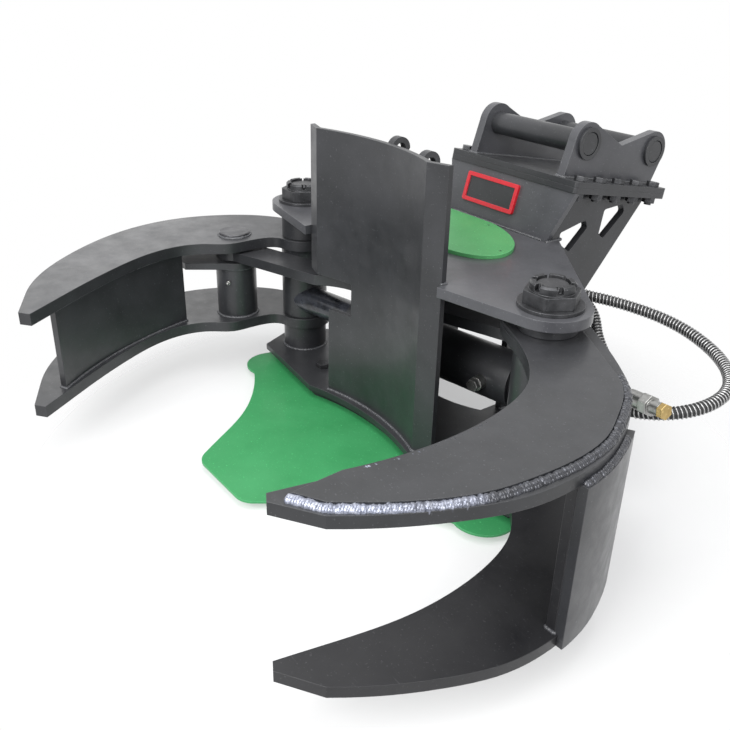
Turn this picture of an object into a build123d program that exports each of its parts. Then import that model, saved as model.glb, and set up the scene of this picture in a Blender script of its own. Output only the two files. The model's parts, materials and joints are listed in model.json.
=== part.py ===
from build123d import *
import os
from math import atan2, asin, cos, degrees, hypot, radians, sin, tan

# Excavator tree shear, lying on its knife.
# X runs across the two arms, -Y points at the trunk, +Z is up, millimetres.
# The origin is on the ground, midway between the two arm pivots.

os.makedirs("parts", exist_ok=True)

# fits and clearances
SEAT = 0.2            # between pieces that only touch
PIN_FIT = 0.05        # radial, pin in bore
BOLT_FIT = 0.5        # radial, bolt in hole
SLIDE_GAP = 1.0       # between faces that turn on each other
OPEN_FIT = 13.0       # radial, link eye on the pin it was opened at
DEEP = 200.0          # cutters reach right through

# levels above the ground
KNIFE_T = 20.0
SEAT_T = 18.0
LOWER_T = 14.0
LOWER_TOP = KNIFE_T + SEAT_T + LOWER_T
TOP_Z = 411.0
TOP_T = 20.0
TOP_TOP = TOP_Z + TOP_T
REST_TOP = 652.0

# arm pivots
PIVOT_X = 400.0
PIVOT_R = 30.0
HUB_R = 56.0
EAR_R = 76.0
NUT_WASHER_T = 7.0
NUT_WASHER_R = 60.0
NUT_AF = 92.0
NUT_CORNER = 1.13       # corners turned down to this share of the half width
NUT_H = 24.0
CROWN_R = 41.0
CROWN_H = 15.0
CROWN_SLOTS = 6
CROWN_SLOT_W = 12.0

# left arm, the inner one
LEFT_LOW_Z = 116.0
LEFT_TOP_Z = 320.0
LEFT_T = 25.0
LEFT_MID_Z = 270.0
LEFT_MID_T = 16.0
LEFT_WEB_T = 16.0
LEFT_LOBE_R = 64.0
LINK_PIN = (-495.0, -143.0)
LINK_PIN_R = 22.5
LINK_BOSS_R = 50.0
LINK_CAP_R = 38.0
LINK_CAP_T = 8.0

# right arm, the outer one
RIGHT_LOW_Z = 74.0
RIGHT_TOP_Z = 359.0
RIGHT_T = 20.0
DOUBLER_T = 8.0
RIGHT_WEB_T = 16.0
SIDE_FROM = 0.411        # where the web and the band start along the outer edge
WEB_TO = 0.72
BAND_TO = 0.62
BAND_IN = 5.6          # web's outer face behind the plates' edge
BAND_OUT = 10.8        # band's outer face in front of the plates' edge
CRANK_PIN = (310.0, 110.0)
CRANK_PIN_R = 22.5
CRANK_LOBE_R = 52.0

# tie link between the arms
LINK_Z = 291.0
LINK_T = 24.0
LINK_W = 76.0
LINK_EYE_R = 48.0
SCALLOP_R = 150.0      # hollow in the link's front edge, clears the rest when closed
SCALLOP_DEEP = 26.0
SCALLOP_AT = 370.0     # from the left eye

# clamp cylinder across the frame
CYL_Z = 189.0
CYL_OFFSET = 20.0     # rod line passes this far in front of the left pivot
BARREL_R = 57.0
BORE_R = 50.0
ROD_R = 20.0
PISTON_R = 43.0
PISTON_T = 40.0
ROD_GAP = 7.0         # radial, rod in gland
BARREL_L = 452.0
GLAND_L = 38.0
CAP_L = 22.0
BASE_EYE_R = 48.0
BASE_EYE_H = 96.0
STROKE_LEFT = 96.0
PORT_R = 15.0
PORT_H = 22.0

# trunk rest
REST_FRONT = -110.0
REST_DEEP = -80.0
REST_RIDGE_X = 176.0
REST_T = 11.0
REST_HALF = 219.0
REST_LIP = 14.0
REST_LOW_LEFT = -145.0
NOTCH_RIGHT = -79.0
NOTCH_LOW = 256.0
NOTCH_TOP = 333.0

REST_LUGS = ((16.0, -72.0, 10.0), (122.0, -86.0, 4.0))   # x, y, height above the rest
LUG_R = 23.0
LUG_BORE_R = 12.0
LUG_T = 16.0

# frame side plates and front panel
SIDE_X = 139.0
SIDE_T = 16.0
SIDE_FRONT = 168.0
PANEL_T = 12.0
PANEL_FOOT_HALF = 152.0
PANEL_FOOT_Y = 257.0

# quick coupler, drawn in a frame that leans back with the flange
FLANGE_Y = 288.0
FLANGE_Z = 565.0
FLANGE_TILT = 10.4
FLANGE_HALF = 191.0
FLANGE_L = 322.0
FLANGE_T = 12.0
EAR_X = 123.0
EAR_T = 20.0
HITCH_PIN_R = 25.0
HITCH_PIN_UP = 74.0
HITCH_FIRST = 66.0
HITCH_PITCH = 235.0
HITCH_LOBE_R = 44.0
RING_R = 34.0
RING_T = 6.0
BOLT_X = 172.0
BOLT_FIRST = 32.0
BOLT_PITCH = 65.0
BOLT_COUNT = 5
BOLT_R = 8.0
BOLT_AF = 24.0
BOLT_HEAD = 10.0
NUT_T = 13.0

# knife and its bolts
KNIFE_BEVEL_W = 42.0
KNIFE_LIP = 5.0
KNIFE_TAIL = ((420.0, 60.0), (236.0, 270.0), (146.0, 270.0), (146.0, 134.0))
KNIFE_BOLTS = ((-250.0, -45.0), (-90.0, -55.0), (90.0, -55.0), (250.0, -45.0))
KNIFE_BOLT_R = 10.0
KNIFE_BOLT_AF = 30.0
KNIFE_BOLT_HEAD = 12.0

# cover on the top plate
COVER_T = 8.0
COVER_SCREWS = ((156.0, 118.0), (14.0, 222.0), (-156.0, 118.0), (-116.0, 222.0))
COVER_BACK = PANEL_FOOT_Y - 17
SCREW_R = 4.0
SCREW_HEAD_R = 7.0

# badge
BADGE_X = -38.0
BADGE_UP = 8.0           # above the panel's middle
BADGE_W = 160.0
BADGE_H = 66.0
BADGE_T = 4.0
BADGE_RIM = 9.0
BADGE_RISE = 3.0

# hoses
HOSE_R = 10.0
UNION_X = 155.2
UNION_AF = 32.0
UNION_L = 46.0
SOCKET = 10.0
LONG_HOSE = (
    (191.4, 215.0, 366.0), (272.0, 215.0, 366.0), (360.0, 275.0, 357.0),
    (470.0, 304.0, 345.0), (590.0, 268.0, 331.0), (662.0, 193.0, 321.0),
    (664.0, 100.0, 309.0), (604.0, 24.0, 296.0), (514.0, 22.0, 278.0),
)
SHORT_HOSE = (
    (191.4, 272.0, 340.0), (248.0, 272.0, 340.0), (302.0, 262.0, 320.0),
    (344.0, 228.0, 284.0), (402.0, 208.0, 250.0), (452.0, 162.0, 238.0),
    (488.0, 98.0, 272.0), (522.0, 42.0, 312.0), (566.0, 10.0, 326.0), (612.0, 4.0, 332.0),
)


def at(x, y, z, shape):
    return Pos(x, y, z) * shape


def rod(radius, height):
    """Cylinder standing on z = 0."""
    return Cylinder(radius, height, align=(Align.CENTER, Align.CENTER, Align.MIN))


def ring(outer, inner, height):
    return rod(outer, height) - rod(inner, height)


def hexagon(across_flats, height):
    flat = RegularPolygon(across_flats / 2, 6, major_radius=False)
    return extrude(flat, amount=height)


def slab(outline, z, thick):
    return Pos(0, 0, z) * extrude(outline, amount=thick)


def bored(solid, spots, radius, z, depth):
    for x, y in spots:
        solid = solid - at(x, y, z, rod(radius, depth))
    return solid


def save(name, shape):
    shape.label = name
    export_step(shape, "parts/" + name + ".step")


PIVOTS = ((-PIVOT_X, 0.0), (PIVOT_X, 0.0))


# frame plates

def rest_front(shift=0.0):
    """Front of the trunk rest in plan: a shallow trough with lips folded back."""
    y = shift
    ridge = (REST_RIDGE_X, REST_FRONT + y)
    lip = (REST_HALF, REST_FRONT + REST_LIP + y)
    return [
        Line((-lip[0], lip[1]), (-ridge[0], ridge[1])),
        ThreePointArc((-ridge[0], ridge[1]), (0.0, REST_DEEP + y), ridge),
        Line(ridge, lip),
    ]


def tangent_corner(x, y, side):
    """Point where the line from (x, y) touches the right ear circle."""
    dx, dy = PIVOT_X - x, -y
    dist = hypot(dx, dy)
    lean = atan2(dy, dx) + side * asin(EAR_R / dist)
    run = (dist ** 2 - EAR_R ** 2) ** 0.5
    return x + run * cos(lean), y + run * sin(lean)


def top_plate():
    front_x, front_y = REST_HALF + 4, REST_FRONT
    back_x, back_y = 127.0, 317.0
    fx, fy = tangent_corner(front_x, front_y, -1)
    bx, by = tangent_corner(back_x, back_y, 1)
    outer = (PIVOT_X + EAR_R, 0.0)
    recess = rest_front(REST_T + SEAT)
    start, end = recess[0] @ 0, recess[-1] @ 1
    edges = recess + [
        Line((-front_x, front_y), (-front_x, start.Y)),
        Line((-front_x, start.Y), start),
        Line(end, (front_x, end.Y)),
        Line((front_x, end.Y), (front_x, front_y)),
        Line((front_x, front_y), (fx, fy)),
        ThreePointArc((fx, fy), outer, (bx, by)),
        Line((bx, by), (back_x, back_y)),
        Line((back_x, back_y), (-back_x, back_y)),
        Line((-back_x, back_y), (-bx, by)),
        ThreePointArc((-bx, by), (-outer[0], 0.0), (-fx, fy)),
        Line((-fx, fy), (-front_x, front_y)),
    ]
    plate = slab(make_face(edges), TOP_Z, TOP_T)
    plate = bored(plate, PIVOTS, PIVOT_R + PIN_FIT, TOP_Z, TOP_T)
    plate = bored(plate, COVER_SCREWS, SCREW_R + SEAT, TOP_Z, TOP_T)
    slot = Box(SIDE_T + 2 * SEAT, 200, TOP_T * 3, align=(Align.CENTER, Align.MIN, Align.CENTER))
    for s in (-1, 1):
        plate = plate - at(s * (SIDE_X + SIDE_T / 2), side_above() - SEAT, TOP_Z, slot)
    return plate


def side_above():
    """Where the side plates come up through the top plate."""
    return PANEL_FOOT_Y + PANEL_T + 1


def lower_outline(inset=0.0):
    """Lower plate seen from above; inset draws the recessed knife seat."""
    i = inset
    half = [
        (188.0, -126.0 + i), (443.0 - i, -93.0 + i), (482.0 - i, -6.0),
        (440.0 - i, 84.0 - i), (250.0 - i, 300.0 - i), (132.0 + i, 300.0 - i),
        (132.0 + i, 128.0),
    ]
    left = [(-x, y) for x, y in reversed(half)]
    edges = [
        Polyline(*half),
        ThreePointArc(half[-1], (0.0, 92.0 - i), left[0]),
        Polyline(*left),
        ThreePointArc(left[-1], (0.0, -96.0 + i), half[0]),
    ]
    return make_face(edges)


def lower_plate():
    z = LOWER_TOP - LOWER_T
    plate = slab(lower_outline(), z, LOWER_T)
    plate = bored(plate, PIVOTS, PIVOT_R + PIN_FIT, z, LOWER_T)
    return bored(plate, KNIFE_BOLTS, KNIFE_BOLT_R + BOLT_FIT, z, LOWER_T)


def knife_seat():
    plate = slab(lower_outline(16.0), KNIFE_T, SEAT_T)
    plate = bored(plate, PIVOTS, PIVOT_R + PIN_FIT, KNIFE_T, SEAT_T)
    return bored(plate, KNIFE_BOLTS, KNIFE_BOLT_R + BOLT_FIT, KNIFE_T, SEAT_T)


def knife_outline(inset=0.0):
    """Nose, scallops and side lobes, mirrored about X = 0; inset draws the ground underside."""
    half = [(62.0, -466.0), (88.0, -461.0), (105.0, -446.0), (141.0, -392.0), (206.0, -299.0),
            (290.0, -222.0), (376.0, -170.0), (440.0, -150.0), (456.0, -100.0)]
    tail = KNIFE_TAIL[0]
    around = [(-half[0][0], half[0][1])] + half + [tail]
    moved = []
    for before, (x, y), after in zip(around, half, around[2:]):
        dx, dy = after[0] - before[0], after[1] - before[1]
        run = hypot(dx, dy)
        moved.append((x - inset * dy / run, y + inset * dx / run))
    edges = [
        ThreePointArc(*moved[0:3]),
        Spline(*moved[2:7]),
        ThreePointArc(*moved[6:9]),
        Line(moved[8], tail),
        Polyline(*KNIFE_TAIL),
    ]
    left = [mirror(e, about=Plane.YZ) for e in edges]
    end = KNIFE_TAIL[-1]
    notch = ThreePointArc(end, (0.0, 100.0), (-end[0], end[1]))
    nose = Line((-moved[0][0], moved[0][1]), moved[0])
    return make_face([nose] + edges + [notch] + left)


def knife():
    """Flat on top, ground from below so the cutting edge is its top rim."""
    lip = slab(knife_outline(), KNIFE_T - KNIFE_LIP, KNIFE_LIP)
    upper = Pos(0, 0, KNIFE_T - KNIFE_LIP) * knife_outline()
    ground = loft([knife_outline(KNIFE_BEVEL_W), upper], ruled=True)
    return bored(lip + ground, KNIFE_BOLTS, KNIFE_BOLT_R + BOLT_FIT, 0, KNIFE_T)


def knife_bolts():
    bolts = []
    for x, y in KNIFE_BOLTS:
        shank = at(x, y, 4, rod(KNIFE_BOLT_R, LOWER_TOP - 4))
        head = at(x, y, LOWER_TOP, hexagon(KNIFE_BOLT_AF, KNIFE_BOLT_HEAD))
        bolts.append(shank + head)
    return Compound(children=bolts)


def trunk_rest():
    """Upright trough; its left edge is cut away where the tie link swings through."""
    front, back = rest_front(), rest_front(REST_T)
    sides = [Line(f, g) for f, g in ((front[0] @ 0, back[0] @ 0), (front[-1] @ 1, back[-1] @ 1))]
    z = LOWER_TOP + SEAT
    plate = slab(make_face(front + back + sides), z, REST_TOP - z)
    corner = (Align.MIN, Align.CENTER, Align.MIN)
    low = Box(REST_HALF + REST_LOW_LEFT + 1, DEEP, NOTCH_LOW, align=corner)
    notch = Box(REST_HALF + NOTCH_RIGHT + 1, DEEP, NOTCH_TOP - NOTCH_LOW, align=corner)
    plate = plate - at(-REST_HALF - 1, REST_FRONT, 0, low)
    return plate - at(-REST_HALF - 1, REST_FRONT, NOTCH_LOW, notch)


def rest_lugs():
    """Two lifting eyes standing on the back of the trunk rest."""
    made = []
    for x, start, above in REST_LUGS:
        r, top = LUG_R, REST_TOP + above
        outline = [
            Line((start, top - 4 * r), (start, top - r)),
            Line((start, top - r), (start + 3, top - r)),
            ThreePointArc((start + 3, top - r), (start + 3 + r, top), (start + 3 + 2 * r, top - r)),
            Line((start + 3 + 2 * r, top - r), (start, top - 4 * r)),
        ]
        face = make_face(outline) - Pos(start + 3 + r, top - r) * Circle(LUG_BORE_R)
        lug = extrude(Plane.YZ * face, amount=LUG_T / 2, both=True)
        lug = Pos(x, 0, 0) * lug - Pos(0, SEAT, 0) * trunk_rest()
        made.append(lug.solids().sort_by(SortBy.VOLUME)[-1])
    return Compound(children=made)


def flange_place(t, n):
    """Point t along and n above the tilted flange, as (y, z)."""
    a = radians(FLANGE_TILT)
    return FLANGE_Y + t * cos(a) + n * sin(a), FLANGE_Z - t * sin(a) + n * cos(a)


def tilted(x, t, n, shape):
    y, z = flange_place(t, n)
    return Pos(x, y, z) * Rot(-FLANGE_TILT, 0, 0) * shape


def side_plate(side):
    """Carries the quick coupler; drawn in Y and Z, two windows cut through."""
    under = -2 * FLANGE_T - 2 * SEAT
    front = flange_place(18.0, under)
    rear = flange_place(302.0, under)
    lean_y, lean_z = panel_foot_inside()
    outline = Polyline(
        front, rear, (300.0, 168.0), (300.0, LOWER_TOP + SEAT),
        (SIDE_FRONT, LOWER_TOP + SEAT), (SIDE_FRONT, TOP_Z - 2 * SEAT),
        (side_above(), TOP_Z - 2 * SEAT), (side_above(), TOP_TOP), (lean_y, lean_z), close=True)
    window_a = Polyline((297.0, 445.0), (378.0, 461.0), (386.0, 442.0), (334.0, 396.0),
                        (300.0, 420.0), close=True)
    window_b = Polyline((438.0, 475.0), (500.0, 478.0), (510.0, 459.0), (446.0, 407.0),
                        (429.0, 420.0), close=True)
    face = make_face(outline)
    for window in (window_a, window_b):
        hole = make_face(window)
        face = face - fillet(hole.vertices(), 7.0)
    panel = extrude(Plane.YZ * face, amount=SIDE_T)
    return Pos(SIDE_X if side > 0 else -SIDE_X - SIDE_T, 0, 0) * panel


def panel_foot_inside():
    """Lowest point of the side plates' front edge, behind the front panel."""
    return PANEL_FOOT_Y + PANEL_T + 4, TOP_TOP + 2


def panel_plane():
    """Outer face of the sloped front panel: x across, y up the slope."""
    y1, z1 = flange_place(4.0, -2 * FLANGE_T - SEAT)
    lean = degrees(atan2(z1 - TOP_TOP, y1 - PANEL_FOOT_Y))
    return Plane(origin=(0, PANEL_FOOT_Y, TOP_TOP + SEAT), x_dir=(1, 0, 0),
                 z_dir=(0, -sin(radians(lean)), cos(radians(lean))))


def panel_height():
    y1, z1 = flange_place(4.0, -2 * FLANGE_T - SEAT)
    return hypot(z1 - TOP_TOP - SEAT, y1 - PANEL_FOOT_Y)


def front_panel():
    h = panel_height()
    outline = Polyline((-PANEL_FOOT_HALF, 0), (PANEL_FOOT_HALF, 0), (FLANGE_HALF, h),
                       (-FLANGE_HALF, h), close=True)
    plate = extrude(panel_plane() * make_face(outline), amount=-PANEL_T)
    trim = Box(600, 400, 200, align=(Align.CENTER, Align.CENTER, Align.MAX))
    plate = plate - Pos(0, PANEL_FOOT_Y, TOP_TOP + SEAT) * trim
    lid = Box(600, 600, 200, align=(Align.CENTER, Align.CENTER, Align.MIN))
    return plate - tilted(0, 100, -2 * FLANGE_T - 2 * SEAT, lid)


def badge_plate():
    plane = panel_plane() * Pos(BADGE_X, panel_height() / 2 + BADGE_UP, 0)
    base = Rectangle(BADGE_W, BADGE_H)
    base = fillet(base.vertices(), 5.0)
    rim = base - Rectangle(BADGE_W - 2 * BADGE_RIM, BADGE_H - 2 * BADGE_RIM)
    plate = extrude(base, amount=BADGE_T) + Pos(0, 0, BADGE_T) * extrude(rim, amount=BADGE_RISE)
    return plane * (Pos(0, 0, SEAT) * plate)


def cover_plate():
    """Lid with a straight back edge that slopes forward on the right-hand side."""
    flank = [(145.0, 153.0), (166.0, 134.0), (172.0, 112.0), (165.0, 84.0), (150.0, 67.0),
             (121.0, 44.0), (82.0, 31.0)]
    left = [(-x, y) for x, y in reversed(flank)]
    back_left, back_right = (-132.0, COVER_BACK), (15.0, COVER_BACK)
    edges = [
        Line(back_left, back_right),
        Line(back_right, (111.0, 196.0)),
        Line((111.0, 196.0), (134.0, 164.0)),
        Line((134.0, 164.0), flank[0]),
        Spline(*flank, (0.0, 26.0), *left),
        Line(left[-1], (-132.0, 164.0)),
        Line((-132.0, 164.0), back_left),
    ]
    lid = slab(make_face(edges), TOP_TOP + SEAT, COVER_T)
    lid = bored(lid, COVER_SCREWS, SCREW_R + SEAT, TOP_TOP, COVER_T + 1)
    z = TOP_TOP + SEAT + COVER_T
    for x, y in COVER_SCREWS:
        lid = lid - at(x, y, z, Cone(0.1, SCREW_HEAD_R + SEAT, 7.0, align=(
            Align.CENTER, Align.CENTER, Align.MAX)))
    return lid


def cover_screws():
    z = TOP_TOP + SEAT + COVER_T
    made = []
    for x, y in COVER_SCREWS:
        head = Cone(SCREW_R, SCREW_HEAD_R, 3.0, align=(Align.CENTER, Align.CENTER, Align.MAX))
        socket = at(0, 0, -2, hexagon(5.0, 3.0))
        shank = at(0, 0, -22, rod(SCREW_R, 20.0))
        made.append(at(x, y, z, head + shank - socket))
    return Compound(children=made)


# quick coupler

def bolt_spots():
    for side in (-1, 1):
        for k in range(BOLT_COUNT):
            yield side * BOLT_X, BOLT_FIRST + k * BOLT_PITCH


def flange(n_low):
    plate = Box(2 * FLANGE_HALF, FLANGE_L, FLANGE_T, align=(Align.CENTER, Align.MIN, Align.MIN))
    plate = fillet(plate.edges().filter_by(Axis.Z), 8.0)
    for x, t in bolt_spots():
        plate = plate - at(x, t, 0, rod(BOLT_R + BOLT_FIT, FLANGE_T))
    return tilted(0, 0, n_low, plate)


def flange_bolts():
    made = []
    grip = 2 * FLANGE_T + SEAT
    for x, t in bolt_spots():
        head = hexagon(BOLT_AF, BOLT_HEAD)
        shank = Pos(0, 0, -grip - NUT_T - 5) * rod(BOLT_R, grip + NUT_T + 5)
        made.append(tilted(x, t, SEAT, Rot(0, 0, 30) * head + shank))
    return Compound(children=made)


def flange_nuts():
    made = []
    low = -2 * FLANGE_T - NUT_T - 2 * SEAT
    for x, t in bolt_spots():
        nut = hexagon(BOLT_AF, NUT_T) - rod(BOLT_R + PIN_FIT, NUT_T)
        made.append(tilted(x, t, low, Rot(0, 0, 30) * nut))
    return Compound(children=made)


def hitch_spots():
    return (HITCH_FIRST, HITCH_FIRST + HITCH_PITCH)


def hitch_ear(side):
    """Two lobes with a V valley between them, standing on the upper flange."""
    t1, t2 = hitch_spots()
    up = HITCH_PIN_UP
    r = HITCH_LOBE_R
    edges = [
        Line((12.0, SEAT), (t1 - r, up)),
        ThreePointArc((t1 - r, up), (t1 - r * 0.5, up + r * 0.866), (t1 + r * 0.5, up + r * 0.866)),
        Line((t1 + r * 0.5, up + r * 0.866), (t1 + 116.0, up + 4.0)),
        Line((t1 + 116.0, up + 4.0), (t2 - r * 0.4, up + r * 0.917)),
        ThreePointArc((t2 - r * 0.4, up + r * 0.917), (t2 + r * 0.6, up + r * 0.8), (t2 + r, up)),
        Line((t2 + r, up), (FLANGE_L, SEAT)),
        Line((FLANGE_L, SEAT), (12.0, SEAT)),
    ]
    face = make_face(edges)
    for t in (t1, t2):
        face = face - Pos(t, up) * Circle(HITCH_PIN_R + PIN_FIT)
    ear = extrude(Plane.YZ * face, amount=EAR_T)
    return tilted(EAR_X if side > 0 else -EAR_X - EAR_T, 0, 0, ear)


def hitch_pin(t):
    half = EAR_X + EAR_T + RING_T - 1
    pin = Rot(0, 90, 0) * Cylinder(HITCH_PIN_R, 2 * half)
    pin = chamfer(pin.edges().filter_by(GeomType.CIRCLE), 2.0)
    return tilted(0, t, HITCH_PIN_UP, pin)


def pin_rings():
    made = []
    for t in hitch_spots():
        for side in (-1, 1):
            x = side * (EAR_X + EAR_T + RING_T / 2 + SEAT)
            collar = Cylinder(RING_R, RING_T) - Cylinder(HITCH_PIN_R + PIN_FIT, RING_T)
            made.append(tilted(x, t, HITCH_PIN_UP, Rot(0, 90, 0) * collar))
    return Compound(children=made)


# pivots

def pivot_pin(x):
    top = TOP_TOP + NUT_WASHER_T + NUT_H + CROWN_H - 4
    pin = at(x, 0, KNIFE_T + SEAT, rod(PIVOT_R, top - KNIFE_T - SEAT))
    return chamfer(pin.edges().filter_by(GeomType.CIRCLE).sort_by(Axis.Z)[-1], 3.0)


def castle_nuts():
    made = []
    z = TOP_TOP + NUT_WASHER_T + SEAT
    for x, y in PIVOTS:
        nut = hexagon(NUT_AF, NUT_H)
        nut = nut & rod(NUT_AF / 2 * NUT_CORNER, NUT_H)
        crown = Pos(0, 0, NUT_H) * rod(CROWN_R, CROWN_H)
        crown = chamfer(crown.edges().filter_by(GeomType.CIRCLE).sort_by(Axis.Z)[-1], 3.0)
        nut = nut + crown
        for k in range(CROWN_SLOTS):
            slot = Box(CROWN_R * 2, CROWN_SLOT_W, CROWN_H, align=(Align.MIN, Align.CENTER, Align.MIN))
            slot = Pos(CROWN_R - 11, 0, NUT_H + 3) * slot
            nut = nut - Rot(0, 0, 30 + k * 360 / CROWN_SLOTS) * slot
        nut = nut - rod(PIVOT_R + PIN_FIT, NUT_H + CROWN_H)
        made.append(at(x, y, z, nut))
    return Compound(children=made)


def pivot_washers():
    made = [at(x, y, TOP_TOP + SEAT, ring(NUT_WASHER_R, PIVOT_R + PIN_FIT, NUT_WASHER_T - SEAT))
            for x, y in PIVOTS]
    return Compound(children=made)


def collar(x, z0, z1):
    return at(x, 0, z0, ring(HUB_R - 2, PIVOT_R + PIN_FIT, z1 - z0))


# left arm

def left_outline():
    tip_in, tip_out = (-270.0, -709.0), (-290.0, -725.0)
    chamfer_end = (-384.0, -682.0)
    hub_back = (-PIVOT_X, LEFT_LOBE_R)
    hub_front = (-PIVOT_X + 12, -LEFT_LOBE_R + 1.14)
    edges = [
        Line(tip_in, tip_out),
        Line(tip_out, chamfer_end),
        Spline(chamfer_end, (-484.0, -617.0), (-569.0, -527.0), (-642.0, -417.0),
               (-682.0, -310.0), (-687.0, -192.0), (-656.0, -95.0), (-607.0, -20.0),
               (-520.0, 42.0), (-455.0, 62.0), hub_back),
        ThreePointArc(hub_back, (-PIVOT_X + LEFT_LOBE_R, 0.0), hub_front),
        Spline(hub_front, (-421.0, -80.0), (-430.0, -112.0), (-431.0, -150.0),
               (-434.0, -190.0), (-467.0, -242.0), (-483.0, -310.0), (-470.0, -380.0),
               (-432.0, -462.0), (-379.0, -551.0), tip_in),
    ]
    return make_face(edges)


def left_arm_plate(z):
    plate = slab(left_outline(), z, LEFT_T)
    plate = plate - at(-PIVOT_X, 0, z, rod(PIVOT_R + PIN_FIT, LEFT_T))
    return plate - at(LINK_PIN[0], LINK_PIN[1], z, rod(LINK_PIN_R + PIN_FIT, LEFT_T))


def left_arm_web():
    """Upright plate between the two plates, just behind the gripping edge."""
    z0 = LEFT_LOW_Z + LEFT_T + SEAT
    a, b, c = (-321.0, -648.0), (-438.0, -472.0), (-506.0, -282.0)
    front = ThreePointArc(a, b, c)
    back = ThreePointArc((a[0] - LEFT_WEB_T, a[1] - 6), (b[0] - LEFT_WEB_T, b[1] - 4),
                         (c[0] - LEFT_WEB_T, c[1]))
    edges = [front, Line(c, back @ 1), back, Line(back @ 0, a)]
    return slab(make_face(edges), z0, LEFT_TOP_Z - z0 - SEAT)


def left_arm_mid_plate():
    """Short third plate that holds the lower end of the link pin."""
    x, y = LINK_PIN
    edges = [
        ThreePointArc((x + 35, y - 41.5), (x + 54, y), (x + 16, y + 51.6)),
        Line((x + 16, y + 51.6), (x - 60, y + 40)),
        Line((x - 60, y + 40), (x - 84, -270.0)),
        Line((x - 84, -270.0), (-517.0, -270.0)),
        Line((-517.0, -270.0), (x + 35, y - 41.5)),
    ]
    plate = slab(make_face(edges), LEFT_MID_Z, LEFT_MID_T)
    return plate - at(x, y, LEFT_MID_Z, rod(LINK_PIN_R + PIN_FIT, LEFT_MID_T))


def left_link_boss():
    z0 = LEFT_LOW_Z + LEFT_T + SEAT
    tube = ring(LINK_BOSS_R, LINK_PIN_R + PIN_FIT, LEFT_MID_Z - z0 - SEAT)
    return at(LINK_PIN[0], LINK_PIN[1], z0, tube)


def left_link_pin():
    top = LEFT_TOP_Z + LEFT_T + SEAT
    pin = at(LINK_PIN[0], LINK_PIN[1], LEFT_LOW_Z + 3, rod(LINK_PIN_R, top - LEFT_LOW_Z - 3))
    cap = at(LINK_PIN[0], LINK_PIN[1], top, rod(LINK_CAP_R, LINK_CAP_T))
    cap = chamfer(cap.edges().filter_by(GeomType.CIRCLE).sort_by(Axis.Z)[-1], 2.0)
    return pin + cap


def grease_nipple():
    """Points at the camera side of the link boss."""
    body = rod(5.0, 7.0) + Pos(0, 0, 7) * rod(3.2, 5.0) + Pos(0, 0, 11) * Sphere(4.0)
    x = LINK_PIN[0] + (LINK_BOSS_R - 1) * cos(radians(-50))
    y = LINK_PIN[1] + (LINK_BOSS_R - 1) * sin(radians(-50))
    nipple = Pos(x, y, 236) * Rot(0, 0, -50) * Rot(0, 90, 0) * body
    return nipple - at(LINK_PIN[0], LINK_PIN[1], 0, rod(LINK_BOSS_R + SEAT / 2, TOP_Z))


# right arm

RIGHT_TIP_IN = (538.0, -661.0)
RIGHT_TIP_OUT = (554.0, -670.0)
RIGHT_CHAMFER = (620.0, -626.0)
RIGHT_OUTER = (
    RIGHT_CHAMFER, (664.0, -558.0), (703.0, -480.0), (732.0, -395.0), (738.0, -320.0),
    (728.0, -242.0), (707.0, -182.0), (670.0, -112.0), (624.0, -54.0), (575.0, -12.0),
    (503.0, 39.0), (430.0, 84.0),
)
RIGHT_INNER = (
    (292.0, 0.0), (330.0, -43.0), (397.0, -77.0), (473.0, -126.0), (527.0, -183.0),
    (562.0, -266.0), (577.0, -350.0), (578.0, -450.0), (560.0, -560.0), RIGHT_TIP_IN,
)


DOUBLER_OUTER = (
    (606.0, -615.0), (640.0, -567.0), (683.0, -490.0), (706.0, -425.0), (714.0, -369.0),
    (717.0, -310.0), (712.0, -248.0), (699.0, -200.0), (674.0, -150.0), (640.0, -93.0),
    (590.0, -45.0),
)


def right_outer_curve():
    return Spline(*RIGHT_OUTER)


def right_outline():
    cx, cy = CRANK_PIN
    r = CRANK_LOBE_R
    lobe_back = (cx + r * 0.35, cy + r * 0.937)
    lobe_side = (cx - r, cy)
    edges = [
        Line(RIGHT_TIP_IN, RIGHT_TIP_OUT),
        Line(RIGHT_TIP_OUT, RIGHT_CHAMFER),
        right_outer_curve(),
        Line(RIGHT_OUTER[-1], lobe_back),
        ThreePointArc(lobe_back, (cx - r * 0.707, cy + r * 0.707), lobe_side),
        Line(lobe_side, RIGHT_INNER[0]),
        Spline(*RIGHT_INNER),
    ]
    return make_face(edges)


def inward(u, depth):
    """Point a given depth inside the right arm's outer edge."""
    curve = right_outer_curve()
    p, d = curve @ u, curve % u
    return (p.X - d.Y * depth, p.Y + d.X * depth)


def arm_strip(points, depth):
    """Curved strip: its outer face follows the points, its inner face lies deeper."""
    outer = Spline(*points)
    inner = []
    for u in (0.0, 0.25, 0.5, 0.75, 1.0):
        p, d = outer @ u, outer % u
        inner.append((p.X - d.Y * depth, p.Y + d.X * depth))
    back = Spline(*inner)
    return make_face([outer, Line(outer @ 1, back @ 1), back, Line(back @ 0, outer @ 0)])


def right_arm_plate(z):
    plate = slab(right_outline(), z, RIGHT_T)
    plate = plate - at(PIVOT_X, 0, z, rod(PIVOT_R + PIN_FIT, RIGHT_T))
    return plate - at(CRANK_PIN[0], CRANK_PIN[1], z, rod(CRANK_PIN_R + PIN_FIT, RIGHT_T))


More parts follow.
